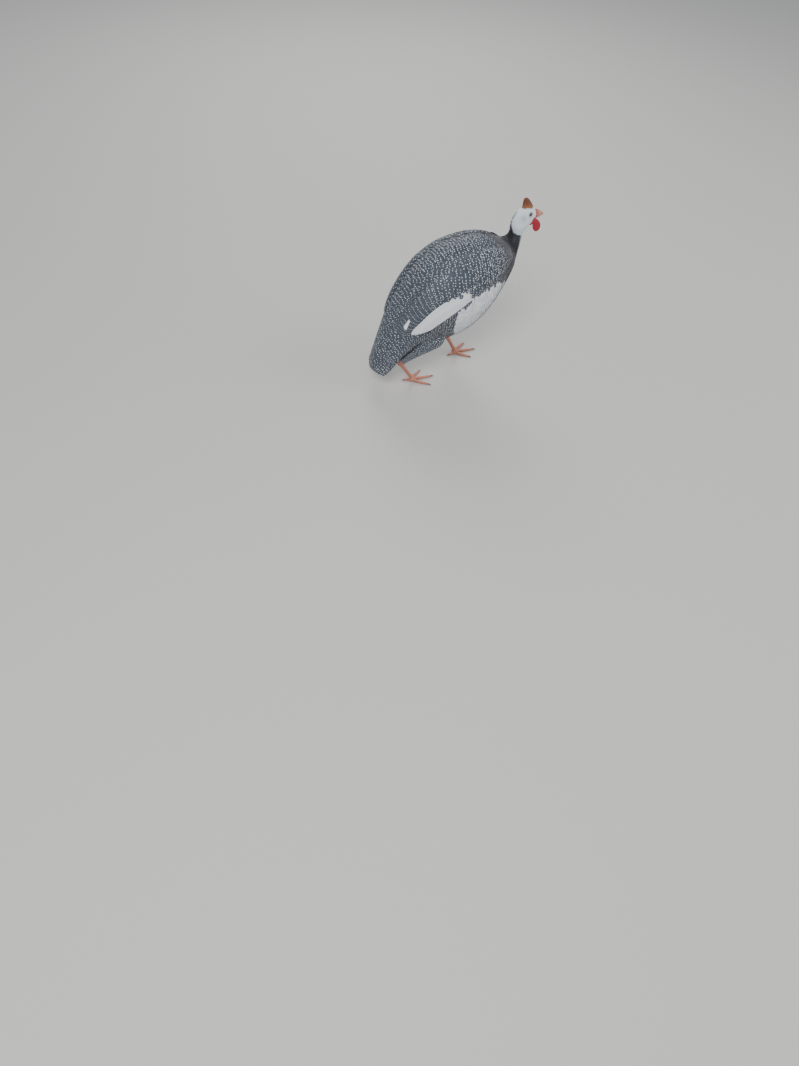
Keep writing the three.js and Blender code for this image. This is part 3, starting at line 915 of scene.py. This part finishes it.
@dataclass
class Wing:
    """A folded wing: coverts over slate secondaries, over white primaries."""

    shop: Workshop
    name: str
    side: float
    secondaries: int = 12
    primaries: int = 8
    secondary_width: float = 24.0
    primary_width: float = 15.0
    stray_width: float = 10.0

    def turn(self, v: Array) -> Array:
        """Angle from the back on this side as the surface's v."""
        return np.mod(self.side * np.asarray(v, float), 360)

    def build(self) -> None:
        """Lays the wing's three layers."""
        self.coverts()
        self.secondary_quills()
        self.primary_quills()

    def quills(self, root: Array, tip: Array, width: Array, lift: Array, tint: Array) -> Vanes:
        """Long feathers over the wing's dome; root and tip hold u and the angle from the back."""
        flip = np.array([1.0, self.side])
        return Vanes(BODY_LOFT, VaneForm.QUILL, root * flip, tip * flip, width,
                     np.stack([lift, lift], -1), tint * RNG.uniform(0.93, 1.07, (len(root), 1)),
                     0.05, wing_lift)

    def coverts(self) -> None:
        """Scaled rows of small feathers from the wrist to the middle of the wing."""
        root = lattice(BODY_LOFT, 7.9, 13.0, lambda u: 9.4 - 4.2 * smooth(u, 8.4, 12.6))
        half = np.mod(root[:, 1], 360) < 180
        root = root[half if self.side > 0 else ~half]
        turn, u = turned(root[:, 1]), root[:, 0]
        top = WING_TOP + 20 * smooth(u, 10.6, 13.3)
        low = fold_at(u) + (low_at(u) - 2 - fold_at(u)) * smooth(u, 9.2, 9.6)
        root = root[(turn > top) & (turn < low)]
        u, v = root.T
        length = 34 - 17 * smooth(u, 8.6, 12.6)
        width = 20 - 8 * smooth(u, 8.6, 12.6)
        beyond_patch = np.full((len(u), 3), 1e3)
        vanes = laid(BODY_LOFT, VaneForm.CONTOUR, root, length, width, (-1.8, 1.6),
                     plumage(u, v, beyond_patch), base=wing_lift)
        nodes = (f"wing_{self.name}_coverts", f"wing_{self.name}_wrist")
        self.shop.feathers(f"wing_{self.name}_coverts_coat", vanes, nodes=nodes)
        radius = 1.1 - 0.55 * smooth(u, 10.6, 12.6)
        self.shop.pearls(f"wing_{self.name}_coverts_pearls", vanes.pearls(SPOTS, radius))

    def secondary_quills(self) -> None:
        """Secondaries side by side, each under the one nearer the back, with pearls in rows."""
        k = np.arange(self.secondaries) / (self.secondaries - 1)
        root = np.stack([9.3 - 0.3 * k, 32 + 33 * k], -1)
        tip = np.stack([4.35 + 0.1 * k + 0.5 * k ** 3, 36 + 37 * k - 3 * k ** 2], -1)
        lift = 1.2 - 2.4 * k
        tint = np.broadcast_to(SLATE * 0.95, (len(k), 3))
        vanes = self.quills(root, tip, np.full(len(k), self.secondary_width), lift, tint)
        nodes = (f"wing_{self.name}_secondaries",)
        self.shop.feathers(f"wing_{self.name}_secondaries_coat", vanes, nodes=nodes)
        lines = [(-1, 0.3), (1, 0.42), (-1, 0.78), (1, 0.84)]  # four rows down each quill
        spots = [(s + 0.018 * n, side * t) for s in np.linspace(0.28, 0.94, 15)
                 for n, (side, t) in enumerate(lines)]
        self.shop.pearls(f"wing_{self.name}_secondaries_pearls", vanes.pearls(spots, 1.0))

    def primary_quills(self) -> None:
        """White primaries below the fold, the lower ones shorter and under the upper ones.

        A stray white feather lies over the right wing's secondaries.
        """
        k = np.arange(self.primaries) / (self.primaries - 1)
        root = np.stack([9.1 + 0.1 * k, 67 + 13 * k], -1)
        tip = np.stack([5.1 + 1.2 * k ** 1.4, 74 + 25 * k - 5 * k ** 2], -1)
        tint = np.broadcast_to(WHITE, (len(k), 3))
        lift = 0.6 - 1.4 * k
        if self.side < 0:
            root, tip = np.vstack([root, [5.5, 52]]), np.vstack([tip, [4.95, 55]])
            lift, tint = np.append(lift, 1.2), np.vstack([tint, WHITE])
        primary = np.arange(len(root)) < self.primaries
        width = np.where(primary, self.primary_width, self.stray_width)
        vanes = self.quills(root, tip, width, lift, tint)
        nodes = (f"wing_{self.name}_primaries",)
        self.shop.feathers(f"wing_{self.name}_primaries_coat", vanes, "white_feather", nodes)


@dataclass
class Tail:
    """Drooping tail: long quills over the top, the body's coverts over their roots."""

    shop: Workshop
    count: int = 16

    def build(self) -> None:
        """Lays the quills and the small feathers under the tail."""
        k = np.linspace(-1, 1, self.count)
        order = np.abs(k)
        root = np.stack([np.full(self.count, 4.2), 84 * k], -1)
        tip = np.stack([0.03 + 0.35 * order ** 2, 88 * k], -1)
        quills = Vanes(BODY_LOFT, VaneForm.QUILL, root, tip, np.full(self.count, 24.0),
                       np.stack([-2 - 1.6 * order, 0.2 - 1.8 * order], -1),
                       SLATE * RNG.uniform(0.88, 1.0, (self.count, 1)), 0.03)
        under = lattice(BODY_LOFT, 0.9, 3.8, lambda u: 8.0)
        under = under[np.abs(under[:, 1] - 180) < 88]
        u, v = under.T
        small = laid(BODY_LOFT, VaneForm.CONTOUR, under, 30.0, 17.0,
                     (-2.5, -0.4), SLATE)
        shape = Shape.joined([quills.shape(), small.shape()])
        self.shop.piece("tail_coat", shape.mesh("tail_coat"), "slate_feather", ("tail",))
        rows = [(s, side * 0.62) for s in np.linspace(0.3, 0.94, 16) for side in (-1, 1)]
        pearls = [quills.pearls(rows, 1.15), small.pearls(SPOTS, 1.1)]
        self.shop.pearls("tail_pearls", Shape.joined(pearls))


def between(start: Array, end: Array, share: Array) -> Array:
    """Points on the line from start to end."""
    start, end = np.asarray(start, float), np.asarray(end, float)
    return start + (end - start) * np.asarray(share)[:, None]


@dataclass
class Leg:
    """A leg: drumstick, shank, pad and toes of the skin, claws and the drumstick's coat."""

    name: str
    side: float

    def __post_init__(self) -> None:
        self.sizes = LEGS[self.name]
        self.drumstick = self.limb("knee", "hock", DRUMSTICK)
        self.shank = self.limb("hock", "ball", SHANK)

    def limb(self, start: str, end: str, table: Array) -> Limb:
        """Limb between two named places."""
        line = between(self.sizes[start], self.sizes[end], table[:, 0])
        return Limb(np.hstack([line, table[:, 1:]]), (1, 0, 0))

    def digit(self, toe: str, table: Array, start: float, length: float, width: float) -> Limb:
        """A toe or claw, start millimetres from the ball of the foot."""
        turn, shift = TOES[toe][:2]
        middle = np.radians(self.sizes["heading"])
        way = middle + np.radians(self.side * turn)
        reach = start + table[:, 0] * length
        ball = self.sizes["ball"]
        x = ball[0] + reach * np.cos(way) - self.side * shift * np.sin(middle)
        y = ball[1] + reach * np.sin(way) + self.side * shift * np.cos(middle)
        rows = np.stack([x, y, table[:, 1], table[:, 2] * width, table[:, 3]], -1)
        return Limb(rows, (0, 0, 1))

    @staticmethod
    def scaled(limb: Limb, pitch: float, along: int, front: float, height: float) -> Shape:
        """Skin of a limb with cross scutes on its front and small scales behind.

        The scutes rise as |sin(pi x / pitch)|^0.5 over the length x, the scales as a product of
        two sines; the dips between them are darker.
        """
        u, v = parameters(limb, along, 32)
        way = np.linalg.norm(np.diff(limb.table[:, :3], axis=0), axis=1).sum()
        x = u / limb.last * way
        face = smooth(np.cos(np.radians(v - front)), 0.0, 0.5)
        plate = np.abs(np.sin(np.pi * x / pitch)) ** 0.5
        grain = np.abs(np.sin(np.pi * x / (pitch * 0.5)) * np.sin(np.radians(v) * 7)) ** 0.5
        relief = face * plate + (1 - face) * grain * 0.6
        tint = LEG_DARK + (LEG - LEG_DARK) * np.clip(relief * 1.3 + 0.15, 0, 1)[..., None]
        return closed(limb.at(u, v, (relief - 0.8) * height), tint)

    def skin(self) -> list[Shape]:
        """Closed shapes of the leg's skin."""
        u, v = parameters(self.drumstick, 40, 32)
        # the drumstick under its coat is slate darkened to 0.6, painted shade between the thigh
        # feathers
        flesh = closed(self.drumstick.at(u, v, -3.5 + 2.2 * smooth(u, 3.5, 5)), SLATE * 0.6)
        shank = self.scaled(self.shank, 3.4, 170, 90.0, 0.5)
        pad = closed(sphere(24, 32) * PAD + np.array(self.sizes["ball"]), LEG * 0.9)
        toes = [self.scaled(self.digit(toe, TOE, 0, row[2], row[3]), 2.6, 90, 90.0, 0.4)
                for toe, row in TOES.items()]
        return [flesh, shank, pad, *toes]

    def claws(self) -> Shape:
        """The leg's claws, curved and blunt."""
        made = []
        for toe, row in TOES.items():
            claw = self.digit(toe, CLAW, row[2] + 0.1, row[4], 1.0)
            u, v = parameters(claw, 24, 16)
            points = claw.at(u, v)
            points[..., 2] = np.maximum(points[..., 2], 0.35)
            made.append(closed(points, CLAW_BROWN))
        return Shape.joined(made)

    def coat(self, shop: Workshop) -> None:
        """Small pearled feathers down the drumstick to the hock."""
        root = lattice(self.drumstick, 0.02, 4.95, lambda u: 6.6 - 2.9 * smooth(u, 2, 4.7))
        u, v = root.T
        length = 19 - 9 * smooth(u, 2, 4.7)
        vanes = laid(self.drumstick, VaneForm.CONTOUR, root, length, 12.5 - 6.5 * smooth(u, 2, 4.7),
                     (-2.6, 0.1), SLATE, toward=1.0)
        shop.feathers(f"thigh_{self.name}_coat", vanes)
        radius = 0.95 - 0.4 * smooth(u, 2, 4.7)
        shop.pearls(f"thigh_{self.name}_pearls", vanes.pearls(SPOTS[:3], radius))


@dataclass
class Head:
    """Bare head: relief of its skin, eyes, bill and casque."""

    shop: Workshop
    ear: tuple[float, float] = (161.0, 384.0)
    gape: tuple[float, float] = (190.0, 377.5)

    def relief(self, points: Array) -> Array:
        """Height of folds in millimetres by the distances d from eye, ear and gape.

        Lid rim exp(-((d - 5.5) / 1)²), a fold outside it, a sunk ear with a rim, a groove from
        the bill to the gape and fine wrinkles down the cheek.
        """
        x, z = points[..., 0], points[..., 2]
        eye = np.hypot(x - EYE_AT[0], z - EYE_AT[2])
        ear = np.hypot(x - self.ear[0], (z - self.ear[1]) * 0.8)
        lip = np.hypot(np.clip(x, self.gape[0], 200) - x, z - self.gape[1] - (x - 190) * 0.25)
        brow = bell(z - 399.5 - (x - 178) * 0.1, 1.6) * bell(x - 178, 9)
        warp = 2.3 * np.sin(0.21 * x + 0.33 * z) + 1.1 * np.sin(0.47 * x - 0.26 * z + 1.3)
        wrinkles = (0.6 * np.sin(0.8 * x + 1.5 * z + warp)
                    + 0.4 * np.sin(1.9 * z - 0.9 * x - 1.4 * warp)) * smooth(-z, -390, -368)
        return (0.55 * bell(eye - 5.5, 0.95) - 0.5 * bell(eye, 4) + 0.28 * bell(eye - 7.9, 0.8)
                + 0.5 * bell(ear - 3.4, 1.0) - 1.1 * bell(ear, 2.2) - 0.6 * bell(lip, 0.9)
                + 0.5 * brow + 0.12 * wrinkles)

    def tint(self, points: Array) -> Array:
        """White face, bluer at ear and throat, red at the gape and over the nostril."""
        x, z = points[..., 0], points[..., 2]
        blue = np.clip(0.8 * bell(np.hypot(x - self.ear[0], z - self.ear[1]), 9)
                       + smooth(-z, -372, -352) * 0.6, 0, 1)
        red = np.clip(bell(np.hypot(x - 191, z - 375), 4.2) + smooth(x, 194, 197.5) * 0.9, 0, 1)
        lid = bell(np.hypot(x - EYE_AT[0], z - EYE_AT[2]) - 5.4, 1.0) * 0.62
        colour = FACE + (FACE_BLUE - FACE) * blue[..., None]
        colour = colour + (RED - colour) * red[..., None]
        return colour * (1 - lid[..., None])

    def skin(self) -> list[Shape]:
        """Closed shapes of head and wattles."""
        u, v = parameters(HEAD_LOFT, 170, 150)
        flat = HEAD_LOFT.point(u, v)
        depth = HEAD_LOFT.depth(u)
        tint = self.tint(flat)
        dark = (1 - smooth(u + 0.25 * np.sin(np.radians(v) * 9), 0.5, 1.1)) * (turned(v) < 135)
        tint = tint + (NAPE - tint) * dark[..., None]
        made = [closed(HEAD_LOFT.at(u, v, self.relief(flat) - depth), tint)]
        for side in SIDES.values():
            wattle = Limb(WATTLE * np.array([1, side, 1, 1, 1]), (1, 0, 0))
            u, v = parameters(wattle, 48, 40)
            ripple = 0.15 * np.sin(u * 5 + 0.6) * np.cos(np.radians(v) * 3)
            made.append(closed(wattle.at(u, v, ripple), RED))
        return made

    def build(self) -> None:
        """Makes the pieces that aren't skin."""
        self.eyes()
        self.bill()
        self.casque()

    def eyes(self) -> None:
        """Eyeballs that stand out of the lids by a millimetre."""
        ball = sphere(40, 64)[..., [0, 2, 1]]  # its poles face sideways
        for name, side in SIDES.items():
            middle = EYE_AT * np.array([1, side, 1])
            shape = closed(ball * EYE_RADIUS + middle, np.zeros(3))
            node = f"eye_{name}"
            self.shop.piece(f"{node}_ball", shape.mesh(node), "eyeball", (node,))

    def bill(self) -> None:
        """Upper and lower bill with nostrils, redder at the root and paler to the tip."""
        for name, table in (("bill_upper", BILL_UPPER), ("bill_lower", BILL_LOWER)):
            loft = Loft(table)
            u, v = parameters(loft, 90, 64)
            points = loft.point(u, v)
            x, z = points[..., 0], points[..., 2]
            nostril = np.hypot((x - 201.8) / 2.4, (z - 388.6 + (x - 201.8) * 0.2) / 1.1)
            hole = bell(nostril, 1.0) * (name == "bill_upper")
            tint = BILL_ROOT + (BILL - BILL_ROOT) * smooth(x, 196, 206)[..., None]
            # the nostril's colour is darkened by up to 0.85, painted shade of its hollow, which the
            # mesh sinks only 0.9 mm
            tint = tint * (1 - 0.85 * hole[..., None])
            shape = closed(loft.at(u, v, -0.9 * hole), tint)
            self.shop.piece(f"{name}_horn", shape.mesh(name), "bill_horn", (name,))

    def casque(self) -> None:
        """Knobbly helmet, paler at its foot, with upright grooves."""
        loft = Loft(CASQUE)
        u, v = parameters(loft, 80, 72)
        points = loft.point(u, v)
        x, z = points[..., 0], points[..., 2]
        rough = (0.24 * np.sin(x * 0.9 + 2 * np.sin(z * 0.35)) * np.sin(z * 0.4 + x * 0.2)
                 + 0.09 * np.sin(x * 1.7 - z * 0.4) * np.cos(z * 0.8 + 1.5 * np.sin(x * 0.5)))
        tint = CASQUE_PALE + (CASQUE_BROWN - CASQUE_PALE) * smooth(z, 400, 420)[..., None]
        wave = np.sin(0.37 * x + 1.0) + 0.6 * np.sin(0.83 * x - 0.9) * np.sin(0.6 * points[..., 1])
        edge = z - 402.5 - wave + (x - 175) * 0.06
        tint = FACE * 0.85 + (tint - FACE * 0.85) * smooth(edge, 0, 2.5)[..., None]
        shape = closed(loft.at(u, v, rough - 0.2), tint * (1 + 0.35 * rough[..., None]))
        self.shop.piece("casque_horn_helmet", shape.mesh("casque"), "casque_horn", ("casque",))


@dataclass
class Skin:
    """The one skin under the coat, joined from the surfaces of body, head and legs."""

    shop: Workshop
    head: Head
    legs: list[Leg]

    @staticmethod
    def body() -> Shape:
        """Body from the root of the tail to the neck, sunk by the coat's depth.

        The rings shrink to a round end at the tail as sqrt((u - 3.1) / 1.3).
        """
        u, v = parameters(BODY_LOFT, 150, 96, low=3.12)
        shrink = np.sqrt(np.clip((u - 3.1) / 1.3, 0.0, 1.0))[..., None]
        depth = BODY_LOFT.depth(u)
        points = BODY_LOFT.at(u, v, 0.6 * wing_lift(u, v) - depth)
        middle = points.mean(axis=1, keepdims=True)
        # the skin takes the plumage's colour darkened to three quarters, painted shade seen in the
        # gaps between the vanes
        tint = plumage(u, v, BODY_LOFT.point(u, v)) * 0.75
        return closed(middle + (points - middle) * shrink, tint)

    def build(self) -> None:
        """Unites the closed shapes and paints the result from the nearest of them."""
        shapes = [self.body(), *self.head.skin()]
        for leg in self.legs:
            shapes += leg.skin()
        for shape in shapes:
            shape.points[:, 2] = np.maximum(shape.points[:, 2], 0.0)
        mesh = united([shape.mesh("skin") for shape in shapes])
        everything = Shape.joined(shapes)
        tree = kdtree.KDTree(len(everything.points))
        for i, point in enumerate((everything.points + PLACE) / 1000):
            tree.insert(point, i)
        tree.balance()
        nearest = [tree.find(vertex.co)[1] for vertex in mesh.vertices]
        while mesh.color_attributes:
            mesh.color_attributes.remove(mesh.color_attributes[0])
        paint(mesh, everything.tint[nearest])
        mesh.polygons.foreach_set("use_smooth", np.ones(len(mesh.polygons), bool))
        flesh = ["trunk", "breast", "rump", "neck", "head"]
        for name in SIDES:
            flesh += [f"wattle_{name}", f"thigh_{name}", f"shank_{name}"]
            flesh += [f"foot_{name}_{toe}_toe" for toe in TOES]
        self.shop.piece("skin", mesh, "face_skin", tuple(flesh))


def united(meshes: list[bpy.types.Mesh]) -> bpy.types.Mesh:
    """Union of closed meshes, one after the other.

    Args:
        meshes: closed meshes that overlap.

    Returns:
        One closed mesh without the parts inside.
    """
    scene = bpy.context.scene
    base, *others = [bpy.data.objects.new("part", mesh) for mesh in meshes]
    for part in (base, *others):
        scene.collection.objects.link(part)
    for part in others:
        union = base.modifiers.new("union", "BOOLEAN")
        union.operation = "UNION"
        union.solver = "MANIFOLD"
        union.object = part
    bpy.context.view_layer.update()
    result = bpy.data.meshes.new_from_object(
        base.evaluated_get(bpy.context.evaluated_depsgraph_get()))
    for part in (base, *others):
        bpy.data.objects.remove(part)
    result.name = "skin"
    return result


@dataclass
class Studio:
    """Pale floor, soft lights and the camera at the photograph's place."""

    camera_at: tuple = (-811.26, -1462.80, 1294.75)  # mm
    forward: tuple = (0.28356, 0.57978, -0.76384)
    roll_deg: float = 4.3
    lens_mm: float = 27.0
    floor_size: float = 80.0
    sky: tuple = (0.9, 0.94, 1, 1)
    sky_strength: float = 0.5

    def build(self) -> None:
        """Sets the floor, the lights, the world and the camera."""
        self.floor()
        self.light("key", (-1.4, -1.8, 2.6), 1.4, 68)
        self.light("fill", (2.2, -1.2, 1.6), 2.0, 25)
        self.light("rim", (0.6, 2.2, 2.0), 1.4, 34)
        world = bpy.data.worlds.new("studio")
        bpy.context.scene.world = world
        world.use_nodes = True
        world.node_tree.nodes["Background"].inputs["Color"].default_value = self.sky
        world.node_tree.nodes["Background"].inputs["Strength"].default_value = self.sky_strength
        self.camera()

    def floor(self) -> None:
        """Plain pale floor."""
        half = self.floor_size / 2
        mesh = bpy.data.meshes.new("floor")
        corners = [(-half, -half, 0), (half, -half, 0), (half, half, 0), (-half, half, 0)]
        mesh.from_pydata(corners, [], [(0, 1, 2, 3)])
        material = bpy.data.materials.new("pale_floor")
        material.use_nodes = True
        shader = material.node_tree.nodes["Principled BSDF"]
        shader.inputs["Base Color"].default_value = (*srgb("c9c7c3"), 1)
        shader.inputs["Roughness"].default_value = 0.8
        mesh.materials.append(material)
        floor = bpy.data.objects.new("floor", mesh)
        bpy.context.scene.collection.objects.link(floor)

    @staticmethod
    def light(name: str, place: tuple, size: float, watts: float) -> None:
        """Square soft light aimed at the bird's middle."""
        data = bpy.data.lights.new(name, "AREA")
        data.size = size
        data.energy = watts
        lamp = bpy.data.objects.new(name, data)
        way = np.array([0, 0, BIRD_MIDDLE]) - np.array(place)
        lamp.matrix_world = looking(np.array(place), way, 0.0)
        bpy.context.scene.collection.objects.link(lamp)

    def camera(self) -> None:
        """Camera at standing height, looking down, as in the photograph."""
        data = bpy.data.cameras.new("camera")
        data.lens = self.lens_mm
        data.sensor_width = 36.0
        camera = bpy.data.objects.new("camera", data)
        place = np.array(self.camera_at) / 1000
        camera.matrix_world = looking(place, np.array(self.forward), np.radians(self.roll_deg))
        bpy.context.scene.collection.objects.link(camera)
        bpy.context.scene.camera = camera


def looking(place: Array, way: Array, roll: float) -> Matrix:
    """Matrix of a camera or light at a place, looking along way, rolled about it."""
    forward = unit(way)
    right = unit(np.cross(forward, np.array([0.0, 0.0, 1.0])))
    up = np.cross(right, forward)
    turned = np.cos(roll) * right + np.sin(roll) * up
    up = -np.sin(roll) * right + np.cos(roll) * up
    matrix = np.eye(4)
    matrix[:3, 0], matrix[:3, 1], matrix[:3, 2], matrix[:3, 3] = turned, up, -forward, place
    return Matrix(matrix.tolist())


def corners(box: tuple) -> list[list[float]]:
    """A box as plain lists of numbers."""
    return [[float(value) for value in corner] for corner in box]


def main() -> None:
    """Builds the bird and its studio in order."""
    logging.basicConfig(level=logging.INFO, format="%(name)s %(message)s")
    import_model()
    shop = Workshop()
    head = Head(shop)
    legs = [Leg(name, side) for name, side in SIDES.items()]
    Skin(shop, head, legs).build()
    head.build()
    claws = Shape.joined([leg.claws() for leg in legs])
    nodes = tuple(f"claw_{name}_{toe}" for name in SIDES for toe in TOES)
    shop.piece("claws", claws.mesh("claws"), "claw_horn", nodes)
    BodyCoat(shop).build()
    for name, side in SIDES.items():
        Wing(shop, name, side).build()
    Tail(shop).build()
    for leg in legs:
        leg.coat(shop)
    Studio().build()


if __name__ == "__main__":
    main()
